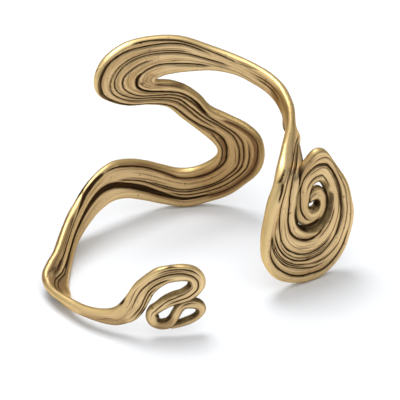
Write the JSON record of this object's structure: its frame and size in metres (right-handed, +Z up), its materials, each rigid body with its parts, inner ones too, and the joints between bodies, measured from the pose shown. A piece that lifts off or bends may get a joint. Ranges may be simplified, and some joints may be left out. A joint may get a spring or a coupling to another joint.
{
  "type": "spiral cuff bangle",
  "caption": "Open brass cuff: a ribbed ribbon runs round the wrist in S-bends, from a flat coiled disc at one end to a small looped flourish at the other.",
  "frame": {"origin": "middle of the oval that the wall follows, on the surface that the cuff rests on", "axes": "+X along the oval's length towards the coiled disc, +Y to the back wall opposite the opening, +Z up along the wrist"},
  "size_m": [0.0646, 0.0495, 0.0473],
  "materials": {
    "brass": "antiqued, polished on the raised ribs"
  },
  "bodies": {
    "root": {"cuff": "brass"}
  },
  "joints": []
}
